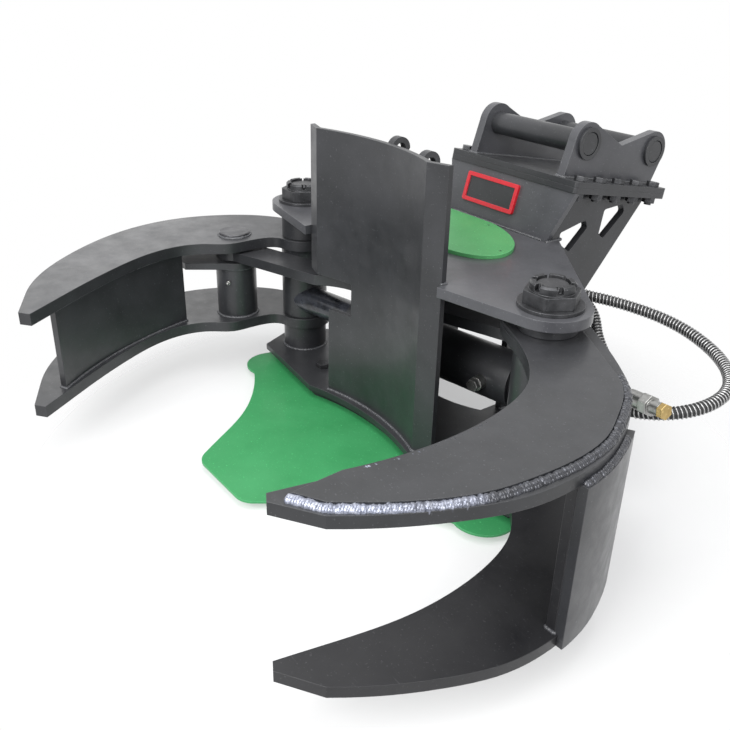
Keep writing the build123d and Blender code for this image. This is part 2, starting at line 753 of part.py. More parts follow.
def right_arm_doubler():
    """Second layer, flush along the gripping edge, set in along the outside."""
    start = (564.0, -640.0)
    edges = [
        Line(RIGHT_INNER[-2], start),
        Line(start, DOUBLER_OUTER[0]),
        Spline(*DOUBLER_OUTER),
        Line(DOUBLER_OUTER[-1], (520.0, -2.0)),
        Line((520.0, -2.0), (400.0, 72.0)),
        Line((400.0, 72.0), (330.0, 30.0)),
        Line((330.0, 30.0), RIGHT_INNER[1]),
        Spline(*RIGHT_INNER[1:-1]),
    ]
    plate = slab(make_face(edges), RIGHT_TOP_Z + RIGHT_T + SEAT, DOUBLER_T - SEAT)
    return plate - at(PIVOT_X, 0, RIGHT_TOP_Z, rod(PIVOT_R + PIN_FIT, 60))


def right_arm_web():
    """Upright plate between the two plates, just inside their outer edge."""
    marks = [SIDE_FROM + (WEB_TO - SIDE_FROM) * k / 5 for k in range(6)]
    z0 = RIGHT_LOW_Z + RIGHT_T + SEAT
    face = arm_strip([inward(u, BAND_IN) for u in marks], RIGHT_WEB_T)
    return slab(face, z0, RIGHT_TOP_Z - SEAT - z0)


def right_arm_band():
    """Outer plate that closes the arm's side, under and outside the plates' edge."""
    marks = [SIDE_FROM + (BAND_TO - SIDE_FROM) * k / 5 for k in range(6)]
    points = [inward(u, -BAND_OUT) for u in marks]
    band = slab(arm_strip(points, RIGHT_WEB_T), RIGHT_LOW_Z, RIGHT_TOP_Z - SEAT - RIGHT_LOW_Z)
    grown = [inward(u, -SEAT) for u in (SIDE_FROM - 0.08, *marks, BAND_TO + 0.08)]
    edge = slab(arm_strip(grown, 60), RIGHT_LOW_Z - 1, RIGHT_T + 1 + SEAT)
    return band - edge


def right_arm_hub():
    z0 = RIGHT_LOW_Z + RIGHT_T + SEAT
    return at(PIVOT_X, 0, z0, ring(HUB_R, PIVOT_R + PIN_FIT, RIGHT_TOP_Z - z0 - SEAT))


def crank_pin():
    """Carries the far eye of the tie link and the base eye of the cylinder."""
    cx, cy = CRANK_PIN
    top = RIGHT_TOP_Z + RIGHT_T + SEAT
    pin = at(cx, cy, RIGHT_LOW_Z + 3, rod(CRANK_PIN_R, top - RIGHT_LOW_Z - 3))
    return pin + at(cx, cy, top, rod(LINK_CAP_R, LINK_CAP_T - 2))


def crank_spacers():
    cx, cy = CRANK_PIN
    low_top = CYL_Z - BASE_EYE_H / 2
    mid_low = CYL_Z + BASE_EYE_H / 2
    spans = (
        (RIGHT_LOW_Z + RIGHT_T + SEAT, low_top - SLIDE_GAP),
        (mid_low + SLIDE_GAP, LINK_Z - SLIDE_GAP),
        (LINK_Z + LINK_T + SLIDE_GAP, RIGHT_TOP_Z - SEAT),
    )
    outer = CRANK_PIN_R + OPEN_FIT + 8
    made = [at(cx, cy, a, ring(outer, CRANK_PIN_R + PIN_FIT, b - a)) for a, b in spans]
    return Compound(children=made)


# tie link

def tie_link():
    (x1, y1), (x2, y2) = LINK_PIN, CRANK_PIN
    length = hypot(x2 - x1, y2 - y1)
    lean = degrees(atan2(y2 - y1, x2 - x1))
    bar = Pos(length / 2, 0) * Rectangle(length, LINK_W)
    face = bar + Circle(LINK_EYE_R) + Pos(length, 0) * Circle(LINK_EYE_R)
    face = face - Pos(SCALLOP_AT, SCALLOP_DEEP - LINK_W / 2 - SCALLOP_R) * Circle(SCALLOP_R)
    face = face - Circle(LINK_PIN_R + PIN_FIT)
    face = face - Pos(length, 0) * Circle(CRANK_PIN_R + OPEN_FIT)
    link = Pos(0, 0, LINK_Z) * extrude(face, amount=LINK_T)
    return Pos(x1, y1, 0) * Rot(0, 0, lean) * link


# clamp cylinder

def cylinder_lean():
    dx, dy = CRANK_PIN[0] + PIVOT_X, CRANK_PIN[1]
    return degrees(atan2(dy, dx) + asin(CYL_OFFSET / hypot(dx, dy)))


def cylinder_length():
    dx, dy = CRANK_PIN[0] + PIVOT_X, CRANK_PIN[1]
    return (dx ** 2 + dy ** 2 - CYL_OFFSET ** 2) ** 0.5


def on_cylinder(shape):
    """Place a shape drawn along +X so it ends on the crank pin."""
    frame = Pos(CRANK_PIN[0], CRANK_PIN[1], CYL_Z) * Rot(0, 0, cylinder_lean())
    return frame * shape


def bar_x(radius, x0, x1):
    return Pos(x0, 0, 0) * Rot(0, 90, 0) * rod(radius, x1 - x0)


def clamp_sleeve():
    z0 = LEFT_LOW_Z + LEFT_T + SLIDE_GAP
    z1 = LEFT_TOP_Z - SLIDE_GAP
    return at(-PIVOT_X, 0, z0, ring(HUB_R, PIVOT_R + PIN_FIT, z1 - z0))


def clamp_rod():
    length = cylinder_length()
    start = -length + (HUB_R ** 2 - CYL_OFFSET ** 2) ** 0.5 - 6
    base = -BASE_EYE_R - BARREL_L
    end = base + GLAND_L + STROKE_LEFT + PISTON_T
    shaft = bar_x(ROD_R, start, end) + bar_x(PISTON_R, end - PISTON_T, end)
    shaft = on_cylinder(shaft)
    return shaft - at(-PIVOT_X, 0, 0, rod(HUB_R + SEAT, TOP_Z))


def clamp_barrel():
    x0 = -BASE_EYE_R - BARREL_L
    tube = bar_x(BARREL_R, x0 + GLAND_L + SEAT, -BASE_EYE_R)
    tube = tube - bar_x(BORE_R, x0, -BASE_EYE_R - CAP_L)
    eye = Pos(0, 0, -BASE_EYE_H / 2) * rod(BASE_EYE_R, BASE_EYE_H)
    neck = bar_x(BASE_EYE_H / 2 - 4, -BASE_EYE_R - 1, -BASE_EYE_R + 20)
    body = on_cylinder(tube + eye + neck)
    cx, cy = CRANK_PIN
    return body - at(cx, cy, 0, rod(CRANK_PIN_R + PIN_FIT, TOP_Z))


def clamp_gland():
    x0 = -BASE_EYE_R - BARREL_L
    nose = bar_x(BARREL_R + 4, x0, x0 + GLAND_L)
    return on_cylinder(nose - bar_x(ROD_R + ROD_GAP, x0, x0 + GLAND_L))


def clamp_ports():
    x0 = -BASE_EYE_R - BARREL_L
    made = []
    for x in (x0 + GLAND_L + 34, -BASE_EYE_R - 60):
        boss = Pos(0, 0, BARREL_R - 4) * rod(PORT_R, PORT_H)
        nut = Pos(0, 0, BARREL_R - 4 + PORT_H) * hexagon(24, 12)
        stub = Pos(x, 0, 0) * Rot(90, 0, 0) * (boss + nut)
        made.append(on_cylinder(stub - bar_x(BARREL_R + SEAT, x - 40, x + 40)))
    return Compound(children=made)


# hoses

def route(points, share=0.45):
    """Straight runs joined by tangent arcs; radii follow the shorter run."""
    radii = []
    for a, b, c in zip(points, points[1:], points[2:]):
        u, v = Vector(b) - Vector(a), Vector(c) - Vector(b)
        turn = radians(u.get_angle(v))
        radii.append(share * min(u.length, v.length) / tan(turn / 2))
    return FilletPolyline(*points, radius=radii), radii


def hose(points):
    line, radii = route(points)
    start = line % 0
    profile = Plane(origin=points[0], z_dir=start) * Circle(HOSE_R)
    tube = sweep(profile, path=line)
    print("hose radii", [round(r) for r in radii], "length", round(line.length, 1),
          "volume share", round(tube.volume / (line.length * 3.14159 * HOSE_R ** 2), 4))
    return tube


def hose_unions():
    """Hexagon unions screwed to the right side plate, one for each hose."""
    made = []
    for x, y, z in (LONG_HOSE[0], SHORT_HOSE[0]):
        body = hexagon(UNION_AF, UNION_L - 14) + Pos(0, 0, UNION_L - 14) * rod(HOSE_R + 5, 14)
        body = body - Pos(0, 0, UNION_L - SOCKET) * rod(HOSE_R + SEAT, SOCKET)
        made.append(Pos(UNION_X, y, z) * Rot(0, 90, 0) * body)
    return Compound(children=made)


def hose_coupling(points):
    """Hexagon ferrule on the free end of a hose."""
    a, b = Vector(points[-2]), Vector(points[-1])
    along = (b - a).normalized()
    plane = Plane(origin=points[-1], z_dir=along)
    body = Pos(0, 0, -26) * rod(HOSE_R + 5, 30) + Pos(0, 0, 4) * hexagon(32, 16)
    body = body + Pos(0, 0, 20) * rod(12, 20)
    body = body - Pos(0, 0, -26) * rod(HOSE_R + SEAT, 26 + SEAT)
    return plane * body


def hose_plug(points):
    a, b = Vector(points[-2]), Vector(points[-1])
    along = (b - a).normalized()
    plane = Plane(origin=points[-1], z_dir=along)
    return plane * (Pos(0, 0, 40 + SEAT) * hexagon(24, 10))


def build():
    save("top_plate", top_plate())
    save("lower_plate", lower_plate())
    save("knife_seat", knife_seat())
    save("knife", knife())
    save("knife_bolts", knife_bolts())
    save("trunk_rest", trunk_rest())
    save("rest_lugs", rest_lugs())
    save("side_plate_left", side_plate(-1))
    save("side_plate_right", side_plate(1))
    save("front_panel", front_panel())
    save("badge_plate", badge_plate())
    save("cover_plate", cover_plate())
    save("cover_screws", cover_screws())
    save("lower_flange", flange(-2 * FLANGE_T - SEAT))
    save("upper_flange", flange(-FLANGE_T))
    save("flange_bolts", flange_bolts())
    save("flange_nuts", flange_nuts())
    save("hitch_ear_left", hitch_ear(-1))
    save("hitch_ear_right", hitch_ear(1))
    t1, t2 = hitch_spots()
    save("hitch_pin_front", hitch_pin(t1))
    save("hitch_pin_rear", hitch_pin(t2))
    save("hitch_pin_rings", pin_rings())
    save("pivot_pin_left", pivot_pin(-PIVOT_X))
    save("pivot_pin_right", pivot_pin(PIVOT_X))
    save("castle_nuts", castle_nuts())
    save("pivot_washers", pivot_washers())
    left_top = LEFT_TOP_Z + LEFT_T
    right_top = RIGHT_TOP_Z + RIGHT_T + DOUBLER_T
    save("left_upper_collar", collar(-PIVOT_X, left_top + SLIDE_GAP, TOP_Z - SEAT))
    save("right_upper_collar", collar(PIVOT_X, right_top + SLIDE_GAP, TOP_Z - SEAT))
    save("left_lower_collar", collar(-PIVOT_X, LOWER_TOP + SEAT, LEFT_LOW_Z - SLIDE_GAP))
    save("right_lower_collar", collar(PIVOT_X, LOWER_TOP + SEAT, RIGHT_LOW_Z - SLIDE_GAP))
    save("left_arm_top_plate", left_arm_plate(LEFT_TOP_Z))
    save("left_arm_lower_plate", left_arm_plate(LEFT_LOW_Z))
    save("left_arm_mid_plate", left_arm_mid_plate())
    save("left_arm_web", left_arm_web())
    save("left_link_boss", left_link_boss())
    save("left_link_pin", left_link_pin())
    save("grease_nipple", grease_nipple())
    save("right_arm_top_plate", right_arm_plate(RIGHT_TOP_Z))
    save("right_arm_lower_plate", right_arm_plate(RIGHT_LOW_Z))
    save("right_arm_doubler", right_arm_doubler())
    save("right_arm_web", right_arm_web())
    save("right_arm_band", right_arm_band())
    save("right_arm_hub", right_arm_hub())
    save("crank_pin", crank_pin())
    save("crank_spacers", crank_spacers())
    save("tie_link", tie_link())
    save("clamp_sleeve", clamp_sleeve())
    save("clamp_rod", clamp_rod())
    save("clamp_barrel", clamp_barrel())
    save("clamp_gland", clamp_gland())
    save("clamp_ports", clamp_ports())
    save("hose_long", hose(LONG_HOSE))
    save("hose_short", hose(SHORT_HOSE))
    save("hose_unions", hose_unions())
    save("long_hose_coupling", hose_coupling(LONG_HOSE))
    save("short_hose_coupling", hose_coupling(SHORT_HOSE))
    save("short_hose_plug", hose_plug(SHORT_HOSE))


build()
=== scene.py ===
# %% [markdown]
# Excavator tree shear, seen from its front right as in the photograph.
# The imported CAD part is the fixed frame; this scene adds paint, welds, hoses and light.

# %% Load the frame
import bmesh
import bpy
import json
import math
import numpy as np
from mathutils import Matrix, Vector


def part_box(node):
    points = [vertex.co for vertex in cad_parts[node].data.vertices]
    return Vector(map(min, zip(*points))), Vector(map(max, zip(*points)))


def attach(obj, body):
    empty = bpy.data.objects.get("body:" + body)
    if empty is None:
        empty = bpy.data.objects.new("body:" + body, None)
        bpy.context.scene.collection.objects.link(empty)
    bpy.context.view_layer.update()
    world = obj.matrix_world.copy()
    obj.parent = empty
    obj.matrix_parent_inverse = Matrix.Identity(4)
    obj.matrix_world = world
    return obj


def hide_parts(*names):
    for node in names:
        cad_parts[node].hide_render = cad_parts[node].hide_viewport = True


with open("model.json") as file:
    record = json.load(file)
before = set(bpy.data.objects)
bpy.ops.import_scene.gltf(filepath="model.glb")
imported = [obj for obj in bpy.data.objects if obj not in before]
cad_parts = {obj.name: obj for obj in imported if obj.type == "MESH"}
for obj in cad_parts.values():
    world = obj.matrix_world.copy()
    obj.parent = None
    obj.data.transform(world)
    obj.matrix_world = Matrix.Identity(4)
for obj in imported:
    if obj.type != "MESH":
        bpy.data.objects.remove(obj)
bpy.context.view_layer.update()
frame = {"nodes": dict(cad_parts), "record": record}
nodes = frame["nodes"]

# %% [markdown]
# The camera is the one the photograph was taken with, found by matching the mirror-symmetric frame.

# %% Camera
F_PX, SIDE_PX = 840.993, 730.0
CAM_AT = Vector((1.300, -1.0872, 0.9946))
AZ, EL, ROLL = (math.radians(v) for v in (52.887, 26.645, 1.291))
back = Vector((math.sin(AZ) * math.cos(EL), -math.cos(AZ) * math.cos(EL), math.sin(EL)))
right = Vector((math.cos(AZ), math.sin(AZ), 0))
up = back.cross(right)
cx = math.cos(ROLL) * right + math.sin(ROLL) * up
cy = -math.sin(ROLL) * right + math.cos(ROLL) * up
cam_data = bpy.data.cameras.new("camera")
cam_data.sensor_width = 36.0
cam_data.lens = 36.0 * F_PX / SIDE_PX
cam_data.clip_end = 100.0
cam = bpy.data.objects.new("camera", cam_data)
bpy.context.scene.collection.objects.link(cam)
turn = Matrix((cx, cy, back)).transposed()
cam.matrix_world = Matrix.Translation(CAM_AT) @ turn.to_4x4()
bpy.context.scene.camera = cam
bpy.context.scene.view_settings.view_transform = "Standard"
print("lens", round(cam_data.lens, 2))

# %% [markdown]
# Paints and metals are node materials worked out from object coordinates, in metres.

# %% Materials


def tree(name):
    mat = bpy.data.materials.new(name)
    mat.use_nodes = True
    nt = mat.node_tree
    return mat, nt, nt.nodes["Principled BSDF"]


def add(nt, kind, **inputs):
    node = nt.nodes.new(kind)
    for key, value in inputs.items():
        node.inputs[key.replace("_", " ")].default_value = value
    return node


def noise(nt, coords, scale, detail=4.0, rough=0.55):
    node = add(nt, "ShaderNodeTexNoise", Scale=scale, Detail=detail, Roughness=rough)
    nt.links.new(coords, node.inputs["Vector"])
    return node.outputs["Fac"]


def ramp(nt, fac, stops):
    node = nt.nodes.new("ShaderNodeValToRGB")
    els = node.color_ramp.elements
    while len(els) < len(stops):
        els.new(0.5)
    for el, (pos, col) in zip(els, stops):
        el.position = pos
        el.color = (*col, 1.0) if len(col) == 3 else col
    nt.links.new(fac, node.inputs["Fac"])
    return node.outputs["Color"]


def grey(v):
    return (v, v, v)


def add_number(nt, value, amount):
    node = nt.nodes.new("ShaderNodeMath")
    nt.links.new(value, node.inputs[0])
    node.inputs[1].default_value = amount
    return node.outputs[0]


def mix(nt, fac, a, b, mode="MIX"):
    node = nt.nodes.new("ShaderNodeMix")
    node.data_type = "RGBA"
    node.blend_type = mode
    nt.links.new(fac, node.inputs["Factor"]) if hasattr(fac, "links") else setattr(
        node.inputs["Factor"], "default_value", fac)
    for sock, val in ((node.inputs["A"], a), (node.inputs["B"], b)):
        if hasattr(val, "links"):
            nt.links.new(val, sock)
        else:
            sock.default_value = (*val, 1.0)
    return node.outputs["Result"]


def facing_up(nt, coords, amount):
    """How far a face looks up, broken by noise: such faces turn a lighter grey."""
    split = nt.nodes.new("ShaderNodeSeparateXYZ")
    nt.links.new(nt.nodes.new("ShaderNodeNewGeometry").outputs["Normal"], split.inputs[0])
    patch = ramp(nt, noise(nt, coords, 14.0, 7.0, 0.68), ((0.3, grey(0.45)), (0.75, grey(1.0))))
    first = nt.nodes.new("ShaderNodeMath")
    first.operation = "MULTIPLY"
    nt.links.new(split.outputs["Z"], first.inputs[0])
    nt.links.new(patch, first.inputs[1])
    second = nt.nodes.new("ShaderNodeMath")
    second.operation = "MULTIPLY"
    second.use_clamp = True
    nt.links.new(first.outputs[0], second.inputs[0])
    second.inputs[1].default_value = amount
    return second.outputs[0]


def scratches(nt, coords):
    """Fine straight marks, brighter than the paint round them."""
    stretch = nt.nodes.new("ShaderNodeMapping")
    stretch.inputs["Scale"].default_value = (30.0, 520.0, 420.0)
    stretch.inputs["Rotation"].default_value = (0.0, 0.0, 0.55)
    nt.links.new(coords, stretch.inputs["Vector"])
    lines = noise(nt, stretch.outputs[0], 1.0, 2.0, 0.4)
    return ramp(nt, lines, ((0.72, grey(0.0)), (0.80, grey(0.5))))


def edge_wear_and_highlight(nt, soft_normal):
    """Where a rounded edge turns away from the flat face beside it: edge wear and a painted highlight."""
    dot = nt.nodes.new("ShaderNodeVectorMath")
    dot.operation = "DOT_PRODUCT"
    nt.links.new(soft_normal, dot.inputs[0])
    nt.links.new(nt.nodes.new("ShaderNodeNewGeometry").outputs["Normal"], dot.inputs[1])
    return ramp(nt, dot.outputs["Value"], ((0.80, grey(0.55)), (0.985, grey(0.0))))


def finish_paint(name, base, deep, rough_lo, rough_hi, bump=0.25, coat=0.0, metallic=0.0,
                 mottle=9.0, peel=900.0, top_grey=0.0, top_tone=(0.16, 0.16, 0.165), softened=0.0016):
    """Painted plate: cloudy tone, orange-peel relief, roughness that varies."""
    mat, nt, bsdf = tree(name)
    coords = nt.nodes.new("ShaderNodeTexCoord").outputs["Object"]
    cloud = noise(nt, coords, mottle, 6.0, 0.6)
    tone = ramp(nt, cloud, ((0.34, deep), (0.68, base)))
    fleck = noise(nt, coords, 260.0, 2.0, 0.5)
    dust = ramp(nt, fleck, ((0.66, grey(0.0)), (0.78, grey(1.0))))
    speck = tuple(min(1.0, v * 1.9 + 0.03) for v in base)
    tone = mix(nt, dust, tone, speck)
    # Faces that look up turn a lighter grey, broken by noise, and fine scratches are added.
    if top_grey:
        tone = mix(nt, scratches(nt, coords), tone, speck)
        tone = mix(nt, facing_up(nt, coords, top_grey), tone, top_tone)
    if softened:
        edge = add(nt, "ShaderNodeBevel", Radius=softened)
        edge.samples = 6
        # Rounded edges turn the lighter speck colour: edge wear, and a painted highlight along the edges.
        tone = mix(nt, edge_wear_and_highlight(nt, edge.outputs["Normal"]), tone, speck)
    nt.links.new(tone, bsdf.inputs["Base Color"])
    haze = noise(nt, coords, 22.0, 5.0, 0.65)
    nt.links.new(ramp(nt, haze, ((0.3, grey(rough_lo)), (0.7, grey(rough_hi)))),
                 bsdf.inputs["Roughness"])
    skin = noise(nt, coords, peel, 2.0, 0.5)
    wave = noise(nt, coords, 45.0, 3.0, 0.5)
    low = add(nt, "ShaderNodeBump", Strength=bump, Distance=0.0004)
    nt.links.new(wave, low.inputs["Height"])
    if softened:
        nt.links.new(edge.outputs["Normal"], low.inputs["Normal"])
    high = add(nt, "ShaderNodeBump", Strength=bump * 0.6, Distance=0.0001)
    nt.links.new(skin, high.inputs["Height"])
    nt.links.new(low.outputs["Normal"], high.inputs["Normal"])
    nt.links.new(high.outputs["Normal"], bsdf.inputs["Normal"])
    bsdf.inputs["Metallic"].default_value = metallic
    bsdf.inputs["Coat Weight"].default_value = coat
    bsdf.inputs["Coat Roughness"].default_value = 0.12
    return mat


black = finish_paint("black_paint", (0.036, 0.037, 0.041), (0.020, 0.021, 0.023), 0.30, 0.46, coat=0.10,
                     top_grey=0.11)
# A lighter copy of the black paint: painted light on the top plate, front panel and hitch ears.
painted_light_black = finish_paint("painted_light_black_paint", (0.085, 0.086, 0.095), (0.055, 0.056, 0.062), 0.30, 0.46,
                           coat=0.2, top_grey=0.22)
# A darker copy of the black paint: painted shade on the right arm's lower plate and web, under its upper
# plate.
painted_shade_black = finish_paint("painted_shade_black_paint", (0.019, 0.019, 0.021), (0.010, 0.010, 0.012), 0.32, 0.48,
                           coat=0.05, top_grey=0.03)
green = finish_paint("green_paint", (0.055, 0.36, 0.125), (0.042, 0.31, 0.102), 0.40, 0.55, coat=0.1)
light_green = finish_paint("light_green_paint", (0.11, 0.42, 0.15), (0.085, 0.36, 0.125), 0.42, 0.55)
red = finish_paint("red_paint", (0.80, 0.012, 0.03), (0.62, 0.008, 0.02), 0.25, 0.4, coat=0.4)
dark_steel = finish_paint("dark_steel", (0.090, 0.091, 0.096), (0.042, 0.043, 0.046), 0.3, 0.5,
                          metallic=0.7, mottle=40.0)
pin_steel = finish_paint("pin_steel", (0.12, 0.12, 0.125), (0.06, 0.06, 0.065), 0.3, 0.5,
                         metallic=0.8, mottle=30.0)
zinc = finish_paint("zinc", (0.42, 0.42, 0.41), (0.26, 0.26, 0.25), 0.25, 0.42, metallic=0.95, mottle=60.0)
brass = finish_paint("brass", (0.55, 0.40, 0.17), (0.40, 0.28, 0.11), 0.22, 0.4, metallic=0.95, mottle=60.0)
chrome = finish_paint("chrome_rod", (0.62, 0.63, 0.65), (0.5, 0.5, 0.52), 0.08, 0.16, 0.1, metallic=1.0)
rubber = finish_paint("hose_rubber", (0.02, 0.02, 0.021), (0.012, 0.012, 0.012), 0.5, 0.7)
bead_black = finish_paint("painted_weld", (0.075, 0.077, 0.085), (0.03, 0.031, 0.035), 0.22, 0.42, 0.5,
                          coat=0.5, mottle=120.0)


def finish_bead(name):
    """Glossy dark weld with a painted reflection: silvery near the arm's tip, dark further back, with painted
    glints in its streaks.
    """
    mat, nt, bsdf = tree(name)
    coords = nt.nodes.new("ShaderNodeTexCoord").outputs["Object"]
    split = nt.nodes.new("ShaderNodeSeparateXYZ")
    nt.links.new(coords, split.inputs[0])
    wander = nt.nodes.new("ShaderNodeMath")
    wander.operation = "MULTIPLY_ADD"
    nt.links.new(noise(nt, coords, 38.0, 4.0, 0.6), wander.inputs[0])
    wander.inputs[1].default_value = 0.30
    nt.links.new(split.outputs["Y"], wander.inputs[2])
    # Painted reflection: bright silver colour near the arm's tip, fading to dark further back.
    reflection_fade = ramp(nt, add_number(nt, wander.outputs[0], 0.85), ((0.42, grey(0.0)), (0.60, grey(1.0))))
    streak = noise(nt, coords, 170.0, 5.0, 0.7)
    painted_reflection = ramp(nt, streak, ((0.30, (0.10, 0.11, 0.15)), (0.50, (0.27, 0.29, 0.37)),
                               (0.72, (0.62, 0.64, 0.72))))
    # The dark colour's brightest streaks are painted glints.
    dark = ramp(nt, streak, ((0.35, (0.022, 0.023, 0.028)), (0.62, (0.060, 0.063, 0.075)),
                             (0.80, (0.26, 0.27, 0.31))))
    nt.links.new(mix(nt, reflection_fade, painted_reflection, dark), bsdf.inputs["Base Color"])
    nt.links.new(ramp(nt, streak, ((0.3, grey(0.16)), (0.7, grey(0.34)))), bsdf.inputs["Roughness"])
    lump = add(nt, "ShaderNodeBump", Strength=0.7, Distance=0.0009)
    nt.links.new(noise(nt, coords, 260.0, 3.0, 0.6), lump.inputs["Height"])
    nt.links.new(lump.outputs["Normal"], bsdf.inputs["Normal"])
    bsdf.inputs["Metallic"].default_value = 0.55
    bsdf.inputs["Coat Weight"].default_value = 0.6
    bsdf.inputs["Coat Roughness"].default_value = 0.1
    return mat


# The bead finish with the painted reflection, used on the right arm's second layer and band.
bead_painted_reflection = finish_bead("glossy_weld_painted_reflection")
spring_steel = finish_paint("spring_steel", (0.50, 0.50, 0.50), (0.30, 0.30, 0.30), 0.22, 0.4, 0.2,
                            metallic=0.95, mottle=200.0)
finishes = {"black_paint": black, "green_paint": green, "light_green_paint": light_green,
            "red_paint": red, "dark_steel": dark_steel, "pin_steel": pin_steel, "zinc": zinc,
            "brass": brass, "chrome_rod": chrome, "hose_rubber": rubber}
slot_of = {s["node"]: s["material_slot"] for s in frame["record"]["subparts"]}
for name, obj in nodes.items():
    obj.data.materials.clear()
    obj.data.materials.append(finishes[slot_of[name]])
# The top plate, front panel and hitch ears take the lighter copy: painted light on them.
for name in ("top_plate", "front_panel", "hitch_ear_left", "hitch_ear_right"):
    nodes[name].data.materials[0] = painted_light_black
# The right arm's lower plate and web take the darker copy: painted shade under the arm's upper plate.
for name in ("right_arm_lower_plate", "right_arm_web"):
    nodes[name].data.materials[0] = painted_shade_black
badge = nodes["badge_plate"].data
badge.materials.append(black)
face_out = max(badge.polygons, key=lambda f: f.area).normal.copy()
if face_out.y > 0:
    face_out.negate()
height = [f.center.dot(face_out) for f in badge.polygons]
for f, h in zip(badge.polygons, height):
    field = f.normal.dot(face_out) > 0.99 and h < max(height) - 0.0015
    f.material_index = 1 if field else 0
# Screw faces below the top of the heads get black paint: painted shade in the screw sockets.
screws = nodes["cover_screws"].data
screws.materials.append(black)
for f in screws.polygons:
    f.material_index = 1 if f.center.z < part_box("cover_screws")[1][2] - 0.0003 else 0
print("materials", len(finishes), "badge field faces", sum(f.material_index for f in badge.polygons),
      "dark screw faces", sum(f.material_index for f in screws.polygons))

# %% [markdown]
# Weld beads run where plates meet. Each bead starts as a bare line of edges taken from the
# CAD pieces; a Geometry Nodes tree resamples it and lays flattened ripples along it.

# %% Weld bead node tree


def socket_of(tree_, name):
    return next(i.identifier for i in tree_.interface.items_tree
                if i.name == name and i.item_type == "SOCKET" and i.in_out == "INPUT")


def bead_tree():
    nt = bpy.data.node_groups.new("weld_bead", "GeometryNodeTree")
    face = nt.interface
    face.new_socket("Geometry", in_out="INPUT", socket_type="NodeSocketGeometry")
    for name, kind, value in (("Radius", "NodeSocketFloat", 0.004), ("Pitch", "NodeSocketFloat", 0.003),
                              ("Seed", "NodeSocketInt", 3)):
        face.new_socket(name, in_out="INPUT", socket_type=kind).default_value = value
    face.new_socket("Finish", in_out="INPUT", socket_type="NodeSocketMaterial")
    face.new_socket("Geometry", in_out="OUTPUT", socket_type="NodeSocketGeometry")
    n = {k: nt.nodes.new(k) for k in (
        "NodeGroupInput", "NodeGroupOutput", "GeometryNodeMeshToCurve", "GeometryNodeResampleCurve",
        "GeometryNodeCurveToPoints", "GeometryNodeMeshIcoSphere", "GeometryNodeInstanceOnPoints",
        "FunctionNodeRandomValue", "GeometryNodeRealizeInstances", "GeometryNodeSetShadeSmooth",
        "GeometryNodeSetMaterial", "ShaderNodeCombineXYZ")}
    link = nt.links.new
    start = n["NodeGroupInput"].outputs
    n["GeometryNodeResampleCurve"].mode = "LENGTH"
    n["GeometryNodeCurveToPoints"].mode = "EVALUATED"
    n["GeometryNodeMeshIcoSphere"].inputs["Subdivisions"].default_value = 2
    link(start["Geometry"], n["GeometryNodeMeshToCurve"].inputs["Mesh"])
    link(n["GeometryNodeMeshToCurve"].outputs["Curve"], n["GeometryNodeResampleCurve"].inputs["Curve"])
    link(start["Pitch"], n["GeometryNodeResampleCurve"].inputs["Length"])
    link(n["GeometryNodeResampleCurve"].outputs["Curve"], n["GeometryNodeCurveToPoints"].inputs["Curve"])
    rand = n["FunctionNodeRandomValue"]
    rand.data_type = "FLOAT"
    sized = [sock for sock in rand.inputs if sock.name in ("Min", "Max") and sock.type == "VALUE"]
    sized[0].default_value, sized[1].default_value = 0.88, 1.08
    link(start["Seed"], rand.inputs["Seed"])
    drawn = next(sock for sock in rand.outputs if sock.type == "VALUE")
    wide = nt.nodes.new("ShaderNodeMath")
    wide.operation = "MULTIPLY"
    link(start["Radius"], wide.inputs[0])
    link(drawn, wide.inputs[1])
    flat = nt.nodes.new("ShaderNodeMath")
    flat.operation = "MULTIPLY"
    link(start["Radius"], flat.inputs[0])
    flat.inputs[1].default_value = 0.72
    size = n["ShaderNodeCombineXYZ"]
    link(wide.outputs[0], size.inputs["X"])
    link(wide.outputs[0], size.inputs["Y"])
    link(flat.outputs[0], size.inputs["Z"])
    shake = nt.nodes.new("FunctionNodeRandomValue")
    shake.data_type = "FLOAT_VECTOR"
    shake.inputs["Min"].default_value = (-1.0, -1.0, -1.0)
    shake.inputs["Max"].default_value = (1.0, 1.0, 1.0)
    link(start["Seed"], shake.inputs["Seed"])
    less = nt.nodes.new("ShaderNodeMath")
    less.operation = "MULTIPLY"
    link(start["Radius"], less.inputs[0])
    less.inputs[1].default_value = 0.07
    small = nt.nodes.new("ShaderNodeVectorMath")
    small.operation = "SCALE"
    link(next(sock for sock in shake.outputs if sock.type == "VECTOR"), small.inputs[0])
    link(less.outputs[0], small.inputs["Scale"])
    nudge = nt.nodes.new("GeometryNodeSetPosition")
    link(n["GeometryNodeCurveToPoints"].outputs["Points"], nudge.inputs["Geometry"])
    link(small.outputs[0], nudge.inputs["Offset"])
    put = n["GeometryNodeInstanceOnPoints"]
    link(nudge.outputs["Geometry"], put.inputs["Points"])
    link(n["GeometryNodeMeshIcoSphere"].outputs["Mesh"], put.inputs["Instance"])
    link(n["GeometryNodeCurveToPoints"].outputs["Rotation"], put.inputs["Rotation"])
    link(size.outputs[0], put.inputs["Scale"])
    link(put.outputs["Instances"], n["GeometryNodeRealizeInstances"].inputs["Geometry"])
    link(n["GeometryNodeRealizeInstances"].outputs["Geometry"],
         n["GeometryNodeSetShadeSmooth"].inputs["Geometry"])
    link(n["GeometryNodeSetShadeSmooth"].outputs["Geometry"], n["GeometryNodeSetMaterial"].inputs["Geometry"])
    link(start["Finish"], n["GeometryNodeSetMaterial"].inputs["Material"])
    link(n["GeometryNodeSetMaterial"].outputs["Geometry"], n["NodeGroupOutput"].inputs["Geometry"])
    return nt


